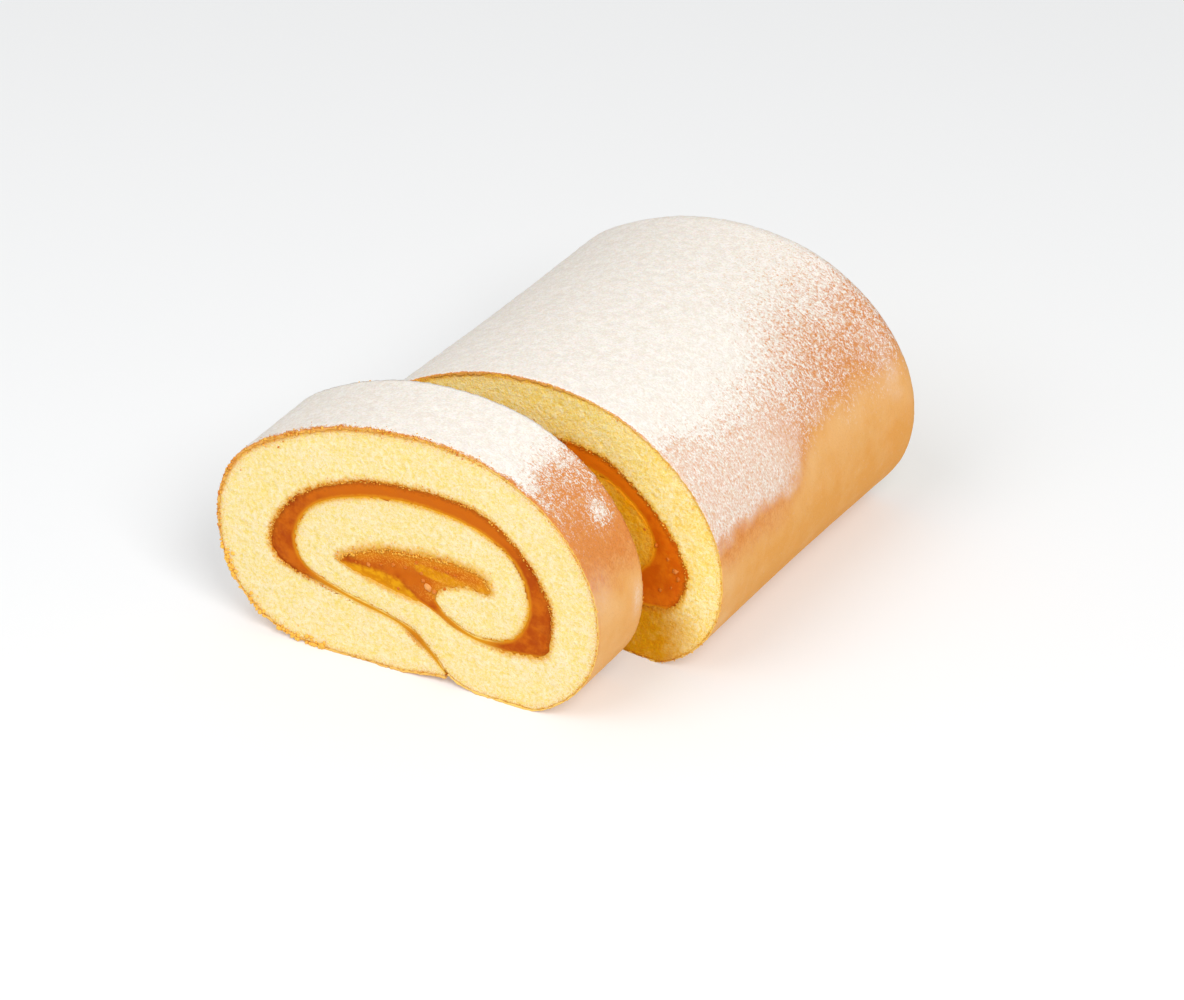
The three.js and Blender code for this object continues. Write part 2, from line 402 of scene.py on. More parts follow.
def jamMaterial(name, tint):
    # jam: orange-brown in the band, clear amber where it pools, golden where it is only a film
    s = Surface(name, {"Roughness": 0.42, "Subsurface Weight": 0.12, "Subsurface Scale": 1.5 * mm,
                       "Subsurface Radius": (1.0, 0.35, 0.05), "Specular IOR Level": 0.05})
    outward, inward, wide = s.attribute("outward"), s.attribute("inward"), s.attribute("wide")
    amber, grainy, clean = s.attribute("amber"), s.attribute("grainy"), s.attribute("clean")
    fine, mid = s.noise(jamGrain["fine"], 3), s.noise(jamGrain["mid"], 3, 0.6)
    broad, speck = s.noise(jamGrain["broad"], 2), s.noise(jamGrain["speck"], 3, 0.6)
    colour = s.mix((broad + (mid - 0.5) * 0.6).step(0.3, 0.7), tint["band"], tint["bandLight"])
    # lighter band where fruit specks lie, and painted light over the top of the band
    colour = s.mix((grainy * 0.8).over(s.attribute("paintedLight")), colour, tint["bandLight"])
    clear = s.mix(mid.step(0.4, 0.62), tint["amber"], tint["amberLight"])
    colour = s.mix((amber + (mid - 0.5) * 0.6).step(0.05, 0.95), colour, clear)
    colour = s.mix(grainy * (1 - (outward + (mid - 0.5) * 2.0).step(0.2, 2.4)) * 0.5, colour, tint["edge"])
    specks = grainy * (1 - outward.step(0.6, 5.0)) * (speck * 0.7 + fine * 0.3 - 0.5).step(0.0, 0.08)
    colour = s.mix(specks * 0.8, colour, tint["speck"])
    colour = s.mix((1 - (inward + (mid - 0.5) * 0.9).step(0.0, 0.9)) * 0.75, colour, tint["edge"])
    colour = s.mix((1 - (outward + (mid - 0.5) * 0.9).step(0.0, 0.7)) * clean, colour, tint["edge"])
    dark = 1 - (outward + (fine - 0.5) * 2.4 + (mid - 0.5) * 1.6).step(0.1, 1.1)
    colour = s.mix(dark * (1 - clean) * (0.35 - grainy * 0.3), colour, tint["dark"])
    film = s.mix(outward.least(inward).step(0.16, 0.42), tint["filmEdge"], tint["film"])
    colour = s.mix(wide, film, colour)
    height = mid + fine * (grainy * 0.6 + 0.1)
    return s.finish(Base_Color=colour, Normal=s.bump(height, jamGrain["bump"], 0.4))


sliceCrumbTint = {
    "pale": rgb(243, 224, 175), "crumb": rgb(243, 222, 161), "light": rgb(248, 235, 203),
    "cloud": rgb(243, 218, 125), "pore": rgb(237, 209, 100), "golden": rgb(226, 162, 34),
    # the last tint on the next line and turn are painted shade, which the slice does not use
    "wet": rgb(206, 122, 26), "rim": rgb(214, 134, 44), "paintedShade": rgb(250, 204, 60),
    "turn": rgb(250, 204, 60),
}
# a brighter, yellower copy of the slice's crumb: painted light against the shade in the gap
rollCrumbTint = {
    "pale": rgb(255, 237, 170), "crumb": rgb(255, 233, 152), "light": rgb(255, 247, 208),
    "cloud": rgb(253, 222, 104), "pore": rgb(247, 208, 78), "golden": rgb(240, 186, 44),
    # the last tint on this line and turn are painted shade, the golden tones of the crumb in the slice's shadow
    "wet": rgb(200, 120, 18), "rim": rgb(222, 150, 40), "paintedShade": rgb(220, 168, 12),
    "turn": rgb(246, 200, 6),
}
skinTint = {
    "tan": rgb(231, 178, 116), "tanDeep": rgb(225, 160, 84), "brown": rgb(215, 137, 72),
    "fleck": rgb(198, 119, 58), "cut": rgb(222, 152, 72), "cutPale": rgb(240, 200, 108),
    "sugar": rgb(246, 241, 235), "sugarShade": rgb(231, 222, 211),
}
sliceJamTint = {
    "band": rgb(171, 71, 4), "bandLight": rgb(197, 100, 12), "amber": rgb(206, 128, 0),
    "amberLight": rgb(222, 154, 12), "edge": rgb(218, 144, 23), "dark": rgb(127, 57, 2),
    "speck": rgb(226, 156, 56), "film": rgb(214, 146, 28), "filmEdge": rgb(240, 206, 112),
}
# a lighter copy of the slice's jam: painted light against the shade in the gap
rollJamTint = {
    "band": rgb(207, 96, 8), "bandLight": rgb(223, 119, 15), "amber": rgb(233, 156, 9),
    "amberLight": rgb(236, 178, 30), "edge": rgb(235, 164, 23), "dark": rgb(147, 70, 4),
    "speck": rgb(226, 156, 56), "film": rgb(219, 150, 23), "filmEdge": rgb(235, 192, 68),
}
skinLook = skinMaterial("sugaredSkin", skinTint)


def distanceTo(points, curve):
    # least distance from each point to the stretches of a curve
    start, run = curve[:-1], np.diff(curve, axis=0)
    along = ((points[:, None] - start) * run).sum(-1) / np.maximum((run ** 2).sum(-1), 1e-18)
    nearest = start + np.clip(along, 0, 1)[..., None] * run
    return np.linalg.norm(points[:, None] - nearest, axis=-1).min(1)


def insideOf(points, loop):
    # a point is inside where a line to its right crosses the loop an odd number of times
    a, b = loop, np.roll(loop, -1, axis=0)
    spans = (a[:, 1] > points[:, None, 1]) != (b[:, 1] > points[:, None, 1])
    rise = np.where(a[:, 1] == b[:, 1], 1e-12, b[:, 1] - a[:, 1])
    crossing = a[:, 0] + (points[:, None, 1] - a[:, 1]) * (b[:, 0] - a[:, 0]) / rise
    return (spans & (crossing > points[:, None, 0])).sum(1) % 2 == 1


def jamWidth(flat):
    # for each point of the sheet's length, on its jam side and on its outer side, 0 where the jam there
    # is a film and 1 where it is a thick layer, and more along the top of the pool, where it soaks in
    rib = flat["rib"]
    inward = rib <= innerEnd
    jamSide = smooth(*filmToLayer, distanceTo(flat["inner"], flat["outer"][inward]) / mm)
    pool = (1 - smooth(13.2, 14.4, rib)) * (1 + 0.8 * smooth(3, 5, rib) * (1 - smooth(9, 10.5, rib)))
    outerSide = smooth(*filmToLayer, distanceTo(flat["outer"], flat["inner"]) / mm) * inward
    return np.where(inward, pool, jamSide), outerSide


def wetFringe(rib):
    # how many dark crumbs line the jam: about half along the pool up to rib 9, none from 10 to 15, and all
    # from 16 on along the band, but fewer at its foot from 17 to 18.5
    foot = smooth(16, 17, rib) * (1 - smooth(18.5, 19.5, rib))
    share = (1 - smooth(9, 10, rib)) + smooth(15, 16, rib) - 0.7 * foot
    return share * (0.55 + 0.45 * smooth(9, 10, rib))


# each field of relief has its height and patch size in millimetres, each worn edge its depth and reach
crumbShape = {
    "pitch": 0.36 * mm, "thickness": 12 * mm, "wallRows": 5, "skinRoom": 0.2 * mm,
    "waves": (0.2, 11), "crags": (0.2, 0.8), "torn": (0.3, 0.75), "tornBroad": (0.14, 2),
    "open": 0.12, "openSize": 1.8 * mm, "pore": 0.14, "poreSizes": (1.7 * mm, 1.0 * mm),
    "wornJam": (0.16, 0.45), "wornSkin": (0.14, 0.4),
}


def crumbPiece(name, node, body, seed, paintedShade, material):
    # a strip from the sheet's outer side to its jam side, cut flat at both ends: each point of the sheet's
    # length has a ring that runs over the front face, down the jam side, over the back face and back
    ribs, place, depth = body
    flat = sheet(ribs, crumbShape["pitch"])
    columns = len(flat["rib"])
    rows = int(crumbShape["thickness"] / crumbShape["pitch"])
    wall = np.linspace(0, 1, crumbShape["wallRows"] + 2)[1:-1]
    across = np.concatenate([np.linspace(0, 1, rows), np.ones(len(wall)), np.linspace(1, 0, rows), 0 * wall])
    deep = np.concatenate([np.zeros(rows), wall, np.ones(rows), wall[::-1]])
    outer, inner = flat["outer"][:, None], flat["inner"][:, None]
    thick = np.linalg.norm(inner - outer, axis=-1)
    bare = (flat["rib"] > bareStart)[:, None]  # where the outer side shows outside the cake
    inset = np.where(bare, crumbShape["skinRoom"], 0) / thick
    share = inset + (1 - inset) * across
    flatPoint = outer + (inner - outer) * share[..., None]
    toJam, toSkin = (1 - share) * thick / mm, share * thick / mm
    start = place(flatPoint[..., 0], flatPoint[..., 1], deep[None])
    # the edge along the jam is torn in and out
    wide, wideUnder = (width[:, None] for width in jamWidth(flat))
    torn = (swell(start, crumbShape["torn"], seed + 50) + swell(start, crumbShape["tornBroad"], seed + 60)) * mm
    torn = torn * np.exp(-toJam / 0.6) * (0.3 + 0.7 * np.minimum(wide, 1)) / thick
    flatPoint = flatPoint + (inner - outer) * torn[..., None]
    face = np.where(deep == 0, 1.0, np.where(deep == 1, -1.0, 0.0))[None]
    # the cut: broad waves, open crumb, round pores, and edges that fall away
    wave = swell(start, crumbShape["waves"], seed)
    wave = wave + crumbShape["open"] * fractal(start, crumbShape["openSize"], seed + 10)
    large, small = crumbShape["poreSizes"]
    hole = np.maximum(pits(start, large, seed + 20, 0.4), 0.6 * pits(start, small, seed + 30, 0.5))
    (jamDepth, jamReach), (skinDepth, skinReach) = crumbShape["wornJam"], crumbShape["wornSkin"]
    worn = jamDepth * np.exp(-toJam / jamReach) * (0.2 + 0.8 * np.minimum(wide, 1))
    worn = worn + skinDepth * np.exp(-toSkin / skinReach)
    crags = swell(start, crumbShape["crags"], seed + 40) * np.exp(-np.minimum(toJam, toSkin) / 0.7)
    out = (wave + crags - crumbShape["pore"] * hole - worn) * mm
    point = place(flatPoint[..., 0], flatPoint[..., 1], deep[None] - face * out / depth)
    attributes = {"toJam": toJam, "toSkin": toSkin, "wide": wide, "wideUnder": wideUnder,
                  "fringe": np.minimum(wide, 1) * wetFringe(flat["rib"][:, None]), "soaked": ~bare,
                  "browned": brownedRim(flat["arc"] / mm)[:, None] * bare, "pit": hole * np.abs(face),
                  # the last attribute is painted shade on the roll's cut behind the slice
                  "paintedShade": paintedShade(flatPoint / mm, ~bare) * (deep == 0)}
    piece = newPiece(name, point, ringFaces(columns, len(deep)), attributes, material)
    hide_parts(node)


def brownedRim(arc):
    # how strongly the rim of a cut is browned: most over the top left, a little on the right, crumbs below
    return 0.3 + 0.7 * smooth(95, 120, arc) * (1 - smooth(165, 190, arc)) + 0.3 * smooth(190, 212, arc)


def spot(arc, y, middle, reach):
    # a bell of height 1 over the middle: e to minus the squares of the distances over the reaches
    return np.exp(-((arc - middle[0]) / reach[0]) ** 2 - ((y - middle[1]) / reach[1]) ** 2)


# Places on the skin are in millimetres: arc runs from the seam to the right, up that side, over the top and
# down the left side, and y runs from the cut to the far end. The sugar is this thick at these arcs, where 1
# is full cover.
rollSugar = {"arc": (59, 68, 76, 86, 98), "thick": (0, 0.27, 0.5, 0.8, 1)}
sliceSugar = {"arc": (64, 74, 83, 91, 98), "thick": (0, 0.2, 0.42, 0.8, 1)}
leftEnd = 198  # arc where the sugar ends again, low on the left


def sugarThickness(sugar, near, arc):
    # read off between the given arcs, and eased to nothing over 24 mm round the left end
    return np.interp(near, sugar["arc"], sugar["thick"]) * (1 - smooth(leftEnd - 12, leftEnd + 12, arc))


def rollDust(arc, y, ragged, tongues):
    # the sugar's thickness and its veil: full over the top, thinning down the side through flecks, over more
    # of the side at the far end, and below them the veil, in tongues near the cut and in patches further off
    near = arc + ragged
    near = np.where(near > 70, 70 + (near - 70) / (1 + smooth(34, 62, y)), near)
    dense = sugarThickness(rollSugar, near, arc + ragged) - 0.1 * spot(arc, y, (80, 0), (4, 9))
    foot = 57 + 9 * smooth(30, 46, y) - 5 * smooth(56, 68, y)
    veil = smooth(foot - 2, foot + 4, arc + tongues) * (1 - smooth(84, 96, arc))
    patchy = smooth(-1, 4, tongues + 0.5 * ragged)
    veil = veil * (1 - smooth(24, 52, y + tongues) * (1 - 0.6 * patchy)) * (0.86 - 0.2 * smooth(60, 80, y))
    return np.clip(dense, 0, 1), veil


def sliceDust(arc, y, ragged, tongues):
    # as on the roll, with more of the skin bare, a thick spot near the back edge and a thin spot low down
    near = arc + ragged
    dense = sugarThickness(sliceSugar, near, near) + 0.5 * spot(arc, y, (73, 15), (3, 3.5))
    veil = 0.15 * smooth(52, 60, arc + tongues) * (1 - smooth(4, 10, y)) * (1 - smooth(60, 68, arc))
    return np.clip(dense, 0, 1), veil + 0.4 * spot(arc, y, (50, 18.5), (4, 2))


# thick, browned and sugar are in millimetres, and each pair is the height and patch size of a field
skinShape = {
    "pitch": 0.55 * mm, "thick": 0.24, "browned": 0.32, "uneven": (0.8, 0.7), "sugar": 0.14,
    "sugarSize": 1.4 * mm, "grain": (0.05, 0.8), "torn": (0.24, 0.6), "tornBroad": (0.06, 2.5),
    "ragged": (4, 9), "raggedFine": (2.5, 2.8), "tongues": (5, 9), "tonguesFine": (2, 3),
    "rubbedEdge": (0.7, 0.9),
}


def skinPiece(name, node, body, seed, dusting, rubbed, browning, paintedLowShade):
    # the skin is a shell on the outer side: for each point of its length a ring runs along the outside, over
    # the far edge, back along the inside and over the near edge
    ribs, place, depth = body
    flat = sheet(ribs, skinShape["pitch"], skinStart)
    columns = len(flat["rib"])
    rows = int(depth / skinShape["pitch"])
    deep = np.concatenate([np.linspace(0, 1, rows), np.ones(2), np.linspace(1, 0, 6), np.zeros(2)])
    layer = np.concatenate([np.zeros(rows), [0.33, 0.67], np.ones(6), [0.67, 0.33]])
    along = np.gradient(flat["outer"], axis=0)
    along /= np.linalg.norm(along, axis=1)[:, None]
    outward = np.stack([along[:, 1], -along[:, 0]], -1)[:, None]
    arc, y = np.broadcast_arrays((flat["arc"] / mm)[:, None], deep[None] * depth / mm)
    start = place(flat["outer"][:, None, 0], flat["outer"][:, None, 1], deep[None])
    ragged = swell(start, skinShape["ragged"], seed) + swell(start, skinShape["raggedFine"], seed + 1)
    tongues = swell(start * np.array([0.3, 1, 0.3]), skinShape["tongues"], seed + 2)
    tongues = tongues + swell(start, skinShape["tonguesFine"], seed + 3)
    dust, veil = dusting(arc, y, ragged, tongues)
    # sugar rubbed off along the cut's edge, over this width and over more of it at two places
    width = rubbed * (0.6 + 0.7 * spot(arc, 0, (92, 0), (8, 1)) + 0.8 * spot(arc, 0, (143, 0), (14, 1)))
    worn = y / np.maximum(width, 0.05) + swell(start, skinShape["rubbedEdge"], seed + 9)
    dust = dust * (0.2 + 0.8 * smooth(0.2, 1.3, worn))
    sugar = skinShape["sugar"] * dust * (1 + fractal(start, skinShape["sugarSize"], seed + 5))
    sugar = sugar + swell(start, skinShape["grain"], seed + 6)
    thick = (skinShape["thick"] + skinShape["browned"] * brownedRim(arc)) * mm
    thick = thick * (1 + swell(start, skinShape["uneven"], seed + 11))
    grow = np.where(layer == 0, sugar * mm, -layer * thick)
    flatPoint = flat["outer"][:, None] + outward * grow[..., None]
    flatPoint[..., 1] = np.maximum(flatPoint[..., 1], 0)
    torn = swell(start, skinShape["torn"], seed + 7) + swell(start, skinShape["tornBroad"], seed + 8)
    ends = np.where(deep < 0.5 / rows, -1.0, np.where(deep > 1 - 0.5 / rows, 1.0, 0.0))
    point = place(flatPoint[..., 0], flatPoint[..., 1], deep[None] + ends * torn * mm / depth)
    # browned above this arc, and along the rim where the sugar is off
    tone = smooth(browning - 6, browning + 6, arc + ragged * 0.4 - 12 * smooth(28, 46, y))
    tone = np.maximum(tone * (1 - smooth(88, 110, arc)), brownedRim(arc) * (1 - smooth(0.3, 1.6, worn)))
    # painted shade: low on the side, away from the cut, the tan is painted darker and more golden
    lowShade = paintedLowShade * (1 - smooth(44, 64, arc)) * smooth(2, 14, y)
    shown = np.broadcast_to(layer == 0, arc.shape)
    attributes = {"dust": dust * shown, "veil": veil * shown, "tone": tone, "cut": ~shown, "deep": lowShade,
                  "browned": brownedRim(arc) - 0.3, "girth": arc * mm, "along": y * mm}
    piece = newPiece(name, point, ringFaces(columns, len(deep)), attributes, skinLook)
    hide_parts(node)


def noPaintedShade(point, turned):
    # no painted shade: the slice's faces stand in the open
    return 0.0


def gapPaintedShade(point, turned):
    # painted shade: the foot of the roll's cut, in the slice's shadow, and its inner turn are painted a
    # deeper gold
    x, z = point[..., 0], point[..., 1]
    foot = (1 - smooth(11, 21, z)) * (1 - smooth(30, 45, x))
    return np.clip(foot + 0.9 * turned, 0, 1)


sliceBody = (sheetRibs, inSlice, sliceDepth)
rollBody = (rollRibs, inRoll, rollLength)
crumbPiece("sliceCrumb", "slice_sponge", sliceBody, 100, noPaintedShade, crumbMaterial("sliceCrumb", sliceCrumbTint))
skinPiece("sliceSkin", "slice_sponge", sliceBody, 200, sliceDust, rubbed=1.0, browning=60, paintedLowShade=0.3)
crumbPiece("rollCrumb", "roll_sponge", rollBody, 300, gapPaintedShade, crumbMaterial("rollCrumb", rollCrumbTint))
skinPiece("rollSkin", "roll_sponge", rollBody, 400, rollDust, rubbed=0.0, browning=56, paintedLowShade=1.0)

# under is how far the jam runs on beneath the sponge; recess, waves (height and patch size) and fine are in
# millimetres
jamShape = {
    "pitch": 0.4 * mm, "outlinePitch": 0.8 * mm, "margin": 2 * mm, "under": 0.7 * mm, "recess": 0.2,
    "waves": (0.12, 3), "fine": 0.07, "fineSize": 1.0 * mm,
}


def jamPiece(name, node, body, seed, material):
    # two level grids over the space between the turns, one a little behind the front face and one before the
    # back face, that run on under the sponge and are joined by a wall along their rims
    ribs, place, depth = body
    flat = sheet(ribs, jamShape["outlinePitch"])
    back = flat["outer"][flat["rib"] <= innerEnd][::-1]
    out = flat["inner"]
    low, high = out.min(0) - jamShape["margin"], out.max(0) + jamShape["margin"]
    shape = ((high - low) / jamShape["pitch"]).astype(int) + 1
    gx, gz = np.meshgrid(low[0] + np.arange(shape[0]) * jamShape["pitch"],
                         low[1] + np.arange(shape[1]) * jamShape["pitch"], indexing="ij")
    grid = np.stack([gx, gz], -1).reshape(-1, 2)
    outward, inward = distanceTo(grid, out), distanceTo(grid, back)
    inside = insideOf(grid, np.concatenate([back, out]))
    kept = (inside | (np.minimum(outward, inward) < jamShape["under"])).reshape(shape)
    cells = kept[:-1, :-1] & kept[1:, :-1] & kept[:-1, 1:] & kept[1:, 1:]
    index = np.arange(len(grid)).reshape(shape)
    quads = np.stack([index[:-1, :-1], index[1:, :-1], index[1:, 1:], index[:-1, 1:]], -1)[cells]
    # the rim is made of the edges that only one quad has
    edges = np.concatenate([quads[:, [n, (n + 1) % 4]] for n in range(4)])
    key = np.sort(edges, axis=1)
    _, first, count = np.unique(key[:, 0] * len(grid) + key[:, 1], return_index=True, return_counts=True)
    rim = edges[first[count == 1]]
    used = np.unique(quads)
    rename = np.full(len(grid), -1)
    rename[used] = np.arange(len(used))
    quads, rim = rename[quads], rename[rim]
    grid, outward, inward, inside = grid[used], outward[used] / mm, inward[used] / mm, inside[used]
    total = len(used)
    edge = np.where(inside, np.minimum(outward, inward), 0)
    flatStart = place(grid[:, 0], grid[:, 1], 0.0)
    uneven = swell(flatStart, jamShape["waves"], seed)
    uneven = uneven + jamShape["fine"] * fractal(flatStart, jamShape["fineSize"], seed + 1)
    wide = smooth(*filmToLayer, outward + inward)
    sink = (jamShape["recess"] * (1.1 - 0.1 * wide) - 0.06 * smooth(0, 2, edge) - uneven * wide) * mm
    front = place(grid[:, 0], grid[:, 1], sink / depth)
    rear = place(grid[:, 0], grid[:, 1], 1 - sink / depth)
    walls = np.stack([rim[:, 1], rim[:, 0], rim[:, 0] + total, rim[:, 1] + total], -1)
    faces = quads.tolist() + (quads[:, ::-1] + total).tolist() + walls.tolist()
    attributes = {"outward": outward, "inward": inward, "wide": wide, **jamPatches(grid / mm)}
    attributes = {key: np.concatenate([value, value]) for key, value in attributes.items()}
    piece = newPiece(name, np.concatenate([front, rear]), faces, attributes, material)
    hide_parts(node)


# x and z in mm of the pool's underside and of the top of its clear amber, and the heights it lies between
poolFoot = np.array([(-17, 25.4), (-13.8, 23.6), (-8.6, 22.2), (-1, 20.6), (5.2, 19.3)])
amberTop = np.array([(-17, 24.8), (-8, 25.0), (-2, 24.4), (1.5, 21.6), (5, 19.5)])
poolLow, poolHigh = 18, 36


def jamPatches(point):
    # amber along the underside of the pool, by the tip of the sheet and at the pool's tail, fruit specks along
    # its upper edge, a clean edge along its foot and along the foot of the band, and painted light on the top
    # of the band
    x, z = point[:, 0], point[:, 1]
    aboveAmber = z - np.interp(x, *amberTop.T)
    low = (1 - smooth(-1.3, 1.3, aboveAmber)) * smooth(-17, -14, x) * (1 - smooth(2, 5, x)) * (z > poolLow)
    patch = np.exp(-(((x - 8) / 7) ** 2 + ((z - (28.1 - 0.14 * (x - 8))) / 1.5) ** 2) ** 2)
    grainy = smooth(-17, -12, x) * (1 - smooth(20, 30, x)) * smooth(0.5, 2.5, aboveAmber)
    grainy = grainy * (z > poolLow) * (z < poolHigh)
    poolEdge = (1 - smooth(1.0, 2.0, z - np.interp(x, *poolFoot.T))) * (x > -16.5) * (x < 8) * (z > poolLow)
    bandEdge = 0.7 * (1 - smooth(14.5, 16.5, z)) * (x > 16)
    tail = 0.8 * np.exp(-((x - 19.6) / 2.6) ** 2 - ((z - 27.4) / 2.2) ** 2)
    return {"amber": np.clip(low + patch + tail, 0, 1), "grainy": grainy, "clean": poolEdge + bandEdge,
            "paintedLight": smooth(37, 43, z)}


jamPiece("sliceJam", "slice_jam", sliceBody, 500, jamMaterial("sliceJam", sliceJamTint))
jamPiece("rollJam", "roll_jam", rollBody, 600, jamMaterial("rollJam", rollJamTint))


def icosahedron():
    # twelve corners on three crossed golden rectangles, and the twenty faces between neighbouring corners
    golden = (1 + 5 ** 0.5) / 2
    rectangle = np.array([(0, a, b * golden) for a in (-1, 1) for b in (-1, 1)])
    corners = np.concatenate([np.roll(rectangle, turn, axis=1) for turn in range(3)])
    trios = np.array(list(itertools.combinations(range(12), 3)))
    a, b, c = (corners[trios[:, n]] for n in range(3))
    sides = np.stack([np.linalg.norm(side, axis=1) for side in (a - b, b - c, c - a)])
    inwards = (np.cross(b - a, c - a) * (a + b + c)).sum(1) < 0
    trios[inwards] = trios[inwards][:, ::-1]
    return corners / np.linalg.norm(corners[0]), trios[(abs(sides - 2) < 1e-6).all(0)]


# corners, widest, out and lift are in radii of a stone: how far its corners lie from its middle, how far it is
# stretched, and how far its middle stands out of the cut and above the floor. Clump is a clump's spread in
# steps of the pitch, and past is how many mm the stones start behind the edge.
lumpShape = {"corners": (0.75, 1.2), "widest": 1.15, "out": 0.2, "lift": 0.6, "pitch": 0.3 * mm, "clump": 3.5,
             "past": 0.1, "grain": 0.3 * mm, "bump": 0.1 * mm}


def lumpPiece(name, slot, middles, radii, shades, material, seed, flatness=0.7):
    # an uneven stone at each middle: an icosahedron whose corners are pushed in and out, flattened and turned
    # at random
    random = np.random.default_rng(seed)
    corners, trios = icosahedron()
    count = len(middles)
    first, second = random.normal(size=(2, count, 3))
    first /= np.linalg.norm(first, axis=1)[:, None]
    second -= first * (first * second).sum(1)[:, None]
    second /= np.linalg.norm(second, axis=1)[:, None]
    turn = np.stack([first, second, np.cross(first, second)], 1)
    stone = corners * random.uniform(*lumpShape["corners"], (count, 12, 1))
    stone = stone * random.uniform(flatness, lumpShape["widest"], (count, 1, 3))
    points = middles[:, None] + radii[:, None, None] * (stone @ turn)
    points[..., 2] = np.maximum(points[..., 2], 0)
    faces = (trios + 12 * np.arange(count)[:, None, None]).reshape(-1, 3).tolist()
    piece = newPiece(name, points, faces, {"shade": shades[:, None]}, material)


def alongCut(side, body, seed, count, span, reach, size, pale=0.0, far=False, clumps=0, over=0.0):
    # stones along one side of the sheet at a cut, half sunk, evenly or in clumps: the span is in mm of arc on
    # the outer side and in ribs on the jam side, and they thin out with e to minus the distance over the
    # reach, onto the cut face and, where "over" is given, onto the skin beside it
    ribs, place, depth = body
    random = np.random.default_rng(seed)
    flat = sheet(ribs, lumpShape["pitch"])
    low, high = np.searchsorted(flat["arc"] / mm if side == "outer" else flat["rib"], span)
    column = random.integers(low, high, count)
    if clumps:
        centres = random.integers(low, high, clumps)[random.integers(0, clumps, count)]
        column = np.clip(centres + random.normal(0, lumpShape["clump"], count), low, high - 1).astype(int)
    across = (flat["inner"] - flat["outer"])[column] * (1 if side == "outer" else -1)
    across /= np.linalg.norm(across, axis=1)[:, None]
    away = random.exponential(reach, count)[:, None] - lumpShape["past"]
    spots = flat[side][column] + across * away * mm
    radius = (size[0] + (size[1] - size[0]) * random.random(count) ** 3) * mm
    deep = -lumpShape["out"] * radius / depth
    if over:
        deep = deep + random.exponential(over, count) * mm / depth
    height = np.maximum(spots[:, 1], lumpShape["lift"] * radius)
    middles = place(spots[:, 0], height, 1 - deep if far else deep)
    return middles, radius, np.clip(random.random(count) + pale, 0, 1)


def gathered(sets):
    # the middles, radii and shades of several sets, each run together
    return [np.concatenate(values) for values in zip(*sets)]


def lumpMaterial(name, dark, light, roughness):
    # each stone's shade, made uneven by noise, lies between the dark and the light tint
    s = Surface(name, {"Roughness": roughness, "Subsurface Weight": 0.2, "Subsurface Scale": 0.6 * mm,
                       "Subsurface Radius": (1.0, 0.6, 0.2), "Specular IOR Level": 0.08})
    fine = s.noise(lumpShape["grain"], 2)
    colour = s.mix((s.attribute("shade") + (fine - 0.5)).clipped(), dark, light)
    return s.finish(Base_Color=colour, Normal=s.bump(fine, lumpShape["bump"], 0.6))


# loose crumbs: along the browned rim of each cut, most over the top left and along the foot
rimSets = [
    alongCut("outer", sliceBody, 701, 620, (98, 188), 0.4, (0.08, 0.38), clumps=90),
    alongCut("outer", sliceBody, 702, 420, (186, 222), 0.5, (0.10, 0.72), pale=0.7, clumps=18),
    alongCut("outer", sliceBody, 703, 120, (4, 98), 0.3, (0.10, 0.26), pale=0.35),
    alongCut("outer", rollBody, 704, 420, (4, 228), 0.3, (0.10, 0.28), pale=0.35),
    alongCut("outer", sliceBody, 705, 300, (4, 228), 0.3, (0.10, 0.28), pale=0.35, far=True),
    alongCut("outer", rollBody, 706, 300, (4, 228), 0.3, (0.10, 0.28), pale=0.35, far=True),
    alongCut("outer", sliceBody, 707, 900, (84, 196), 0.02, (0.07, 0.26), clumps=150, over=0.55),
]
lumpPiece("rimCrumbs", "sponge", *gathered(rimSets),
          lumpMaterial("rimCrumb", rgb(206, 118, 46), rgb(246, 190, 86), 0.85), 710, flatness=0.5)
# loose crumbs: along the jam side of the band, and along the top of the pool
jamSets = [
    alongCut("inner", sliceBody, 721, 380, (19.2, 30.6), 0.35, (0.10, 0.28)),
    alongCut("inner", sliceBody, 722, 420, (4.0, 10.2), 0.7, (0.09, 0.30), pale=0.4),
    alongCut("inner", rollBody, 723, 340, (18.5, 30.6), 0.3, (0.10, 0.28)),
]
lumpPiece("jamCrumbs", "sponge", *gathered(jamSets),
          lumpMaterial("jamCrumb", rgb(196, 110, 24), rgb(242, 184, 76), 0.7), 730)

# pieces of fruit in the jam: x, z and radius in millimetres
sliceFruit = np.array([
    (5.3, 24.4, 1.1), (6.9, 23.7, 0.6), (4.3, 25.9, 0.55), (-9.1, 25.9, 0.6), (-6.0, 26.9, 0.4),
    (-2.9, 27.7, 0.55), (0.0, 27.9, 0.5), (2.7, 29.9, 0.5), (-1.9, 21.9, 0.45), (7.4, 30.1, 0.4),
    (10.3, 29.9, 0.45), (12.2, 29.5, 0.4), (3.9, 27.6, 0.5), (9.6, 25.3, 0.4), (-12.2, 25.6, 0.35),
])
rollFruit = np.array([
    (34.8, 25.5, 0.9), (33.0, 27.9, 0.55), (35.6, 23.7, 0.6), (31.1, 19.4, 0.5), (29.9, 30.5, 0.5),
    (33.8, 21.0, 0.4), (27.0, 33.6, 0.4),
])


def fruitSet(spots, body, pale):
    # each middle lies just under half a radius behind the cut, and the larger pieces are the paler ones
    _, place, depth = body
    middles = place(spots[:, 0] * mm, spots[:, 1] * mm, 0.45 * spots[:, 2] * mm / depth)
    return middles, spots[:, 2] * mm, smooth(0.35, 1.0, spots[:, 2]) * pale


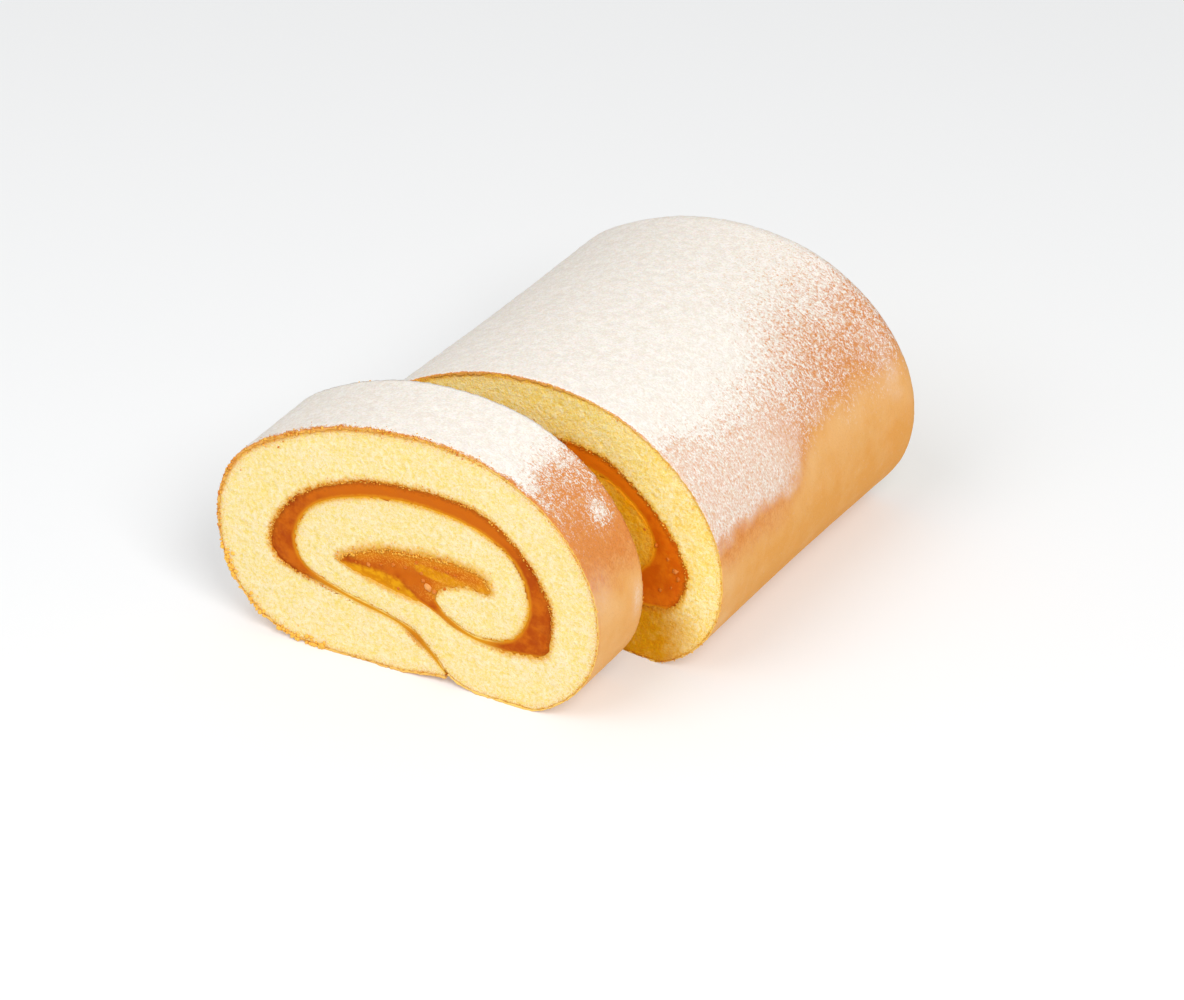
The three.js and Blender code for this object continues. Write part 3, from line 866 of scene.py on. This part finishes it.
fruitSets = [fruitSet(sliceFruit, sliceBody, 1.0), fruitSet(rollFruit, rollBody, 0.3)]
lumpPiece("fruitLumps", "jam", *gathered(fruitSets),
          lumpMaterial("fruit", rgb(200, 108, 26), rgb(228, 160, 92), 0.5), 740, flatness=0.85)


grainShape = {"edge": 0.2, "radii": (0.06, 0.17)}  # mm kept free at the faces, and mm of radius


def sugarGrains(body, seed, count, dusting):
    # clumps of sugar where it thins out: kept most where the skin is half covered, with four times the share
    # covered times the share bare
    ribs, place, depth = body
    random = np.random.default_rng(seed)
    flat = sheet(ribs, lumpShape["pitch"], seamRib)
    column = random.integers(0, len(flat["rib"]), count)
    y = random.uniform(grainShape["edge"], depth / mm - grainShape["edge"], count)
    dust = dusting(flat["arc"][column] / mm, y, 0, 0)[0]
    kept = random.random(count) < 4 * dust * (1 - dust) * smooth(0.1, 0.45, dust) + 0.15 * (dust > 0.9)
    y, foot = y[kept], flat["outer"][column[kept]]
    middles = place(foot[:, 0], foot[:, 1], y * mm / depth)
    return middles, random.uniform(*grainShape["radii"], len(y)) * mm, random.random(len(y))


grainSets = [
    sugarGrains(sliceBody, 751, 4000, sliceDust),
    sugarGrains(rollBody, 752, 16000, rollDust),
]
lumpPiece("sugarGrains", "sponge", *gathered(grainSets),
          lumpMaterial("sugarGrain", rgb(232, 224, 214), rgb(242, 238, 233), 0.8), 760)

floorLook = {"Base Color": (0.72, 0.74, 0.76, 1.0), "Roughness": 0.7,
             "Emission Color": (1.0, 0.97, 0.95, 1.0), "Emission Strength": 0.2}
floorSize = 4.0  # from its middle to its sides
floorMesh = bpy.data.meshes.new("floor")
corners = [(x * floorSize, y * floorSize, 0) for x, y in ((-1, -1), (1, -1), (1, 1), (-1, 1))]
floorMesh.from_pydata(corners, [], [(0, 1, 2, 3)])
floorMesh.materials.append(Surface("paleFloor", floorLook).material)
floor = bpy.data.objects.new("floor", floorMesh)
bpy.context.scene.collection.objects.link(floor)

skyLook = {"Color": (1.0, 1.0, 1.0, 1.0), "Strength": 0.47}
world = bpy.data.worlds.new("studio")
world.use_nodes = True
for key, value in skyLook.items():
    world.node_tree.nodes["Background"].inputs[key].default_value = value
bpy.context.scene.world = world
bpy.context.scene.view_settings.view_transform = "Standard"

# places in metres, power in watts, and the point that both lamps face
lampSettings = {
    "key": {"from": (0.7, -0.5, 0.85), "size": 0.5, "power": 8.2, "colour": (1.0, 0.98, 0.95)},
    "front": {"from": (-0.3, -0.8, 1.1), "size": 0.9, "power": 6.6, "colour": (1.0, 0.99, 0.97)},
}
lampTarget = (0, 0, 0.03)


def aimed(thing, start, target):
    # its own -Z points from the start to the target, with Y up
    thing.location = start
    thing.rotation_mode = "QUATERNION"
    thing.rotation_quaternion = (Vector(target) - Vector(start)).to_track_quat("-Z", "Y")


for key, values in lampSettings.items():
    lamp = bpy.data.lights.new(key, "AREA")
    lamp.size, lamp.energy, lamp.color = values["size"], values["power"], values["colour"]
    lampObject = bpy.data.objects.new(key, lamp)
    bpy.context.scene.collection.objects.link(lampObject)
    aimed(lampObject, values["from"], lampTarget)
print("floor, sky and lamps made")

# the camera from the foot of the cut, its heading seen from above, its tilt in degrees, and its lens in mm
cameraView = {"at": (412.1 * mm, -609.7 * mm, 510.6 * mm), "heading": (-0.5471, 0.8370), "down": 33.07,
              "lens": 122.9, "sensor": 36}
camera = bpy.data.cameras.new("camera")
camera.lens, camera.sensor_width, camera.sensor_fit = cameraView["lens"], cameraView["sensor"], "HORIZONTAL"
cameraObject = bpy.data.objects.new("camera", camera)
bpy.context.scene.collection.objects.link(cameraObject)
cameraStart = cutFoot + np.array(cameraView["at"])
tilt = math.radians(cameraView["down"])
level = np.array(cameraView["heading"]) * math.cos(tilt)
ahead = np.array([*level, -math.sin(tilt)])
aimed(cameraObject, tuple(cameraStart), tuple(cameraStart + ahead))
bpy.context.scene.camera = cameraObject
print("camera made")
